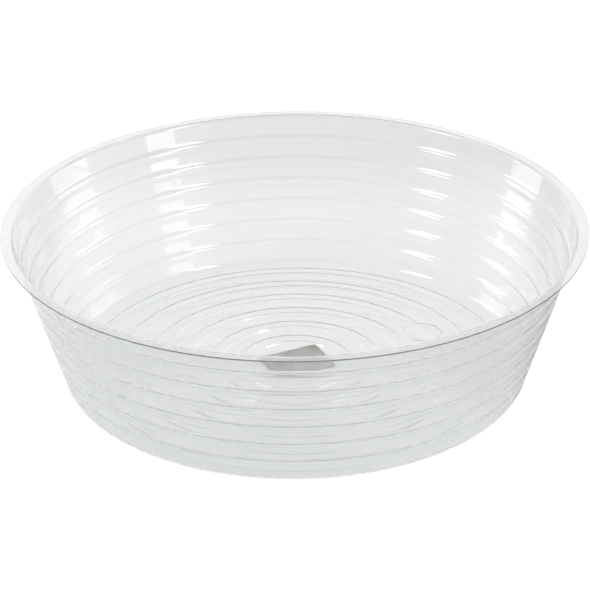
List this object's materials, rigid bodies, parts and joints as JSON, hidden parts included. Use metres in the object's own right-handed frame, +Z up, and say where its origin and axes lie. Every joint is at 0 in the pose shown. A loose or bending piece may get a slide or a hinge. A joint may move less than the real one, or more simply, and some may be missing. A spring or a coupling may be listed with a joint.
{
  "type": "plant saucer",
  "caption": "Deep round clear plastic plant saucer: thin moulded bowl with a flat rim flange, ribbed sloping wall and a floor of raised rings.",
  "frame": {"origin": "middle of the base, on the surface that the saucer stands on", "axes": "+Z up through the middle of the bowl, square to the rim; +X and +Y level, with the front of the saucer at -Y"},
  "size_m": [0.305, 0.305, 0.0835],
  "materials": {
    "clear_sheet": "clear glossy vinyl sheet",
    "label_paper": "matt grey paper"
  },
  "bodies": {
    "root": {"saucer_shell": "clear_sheet", "label": "label_paper"}
  },
  "joints": []
}
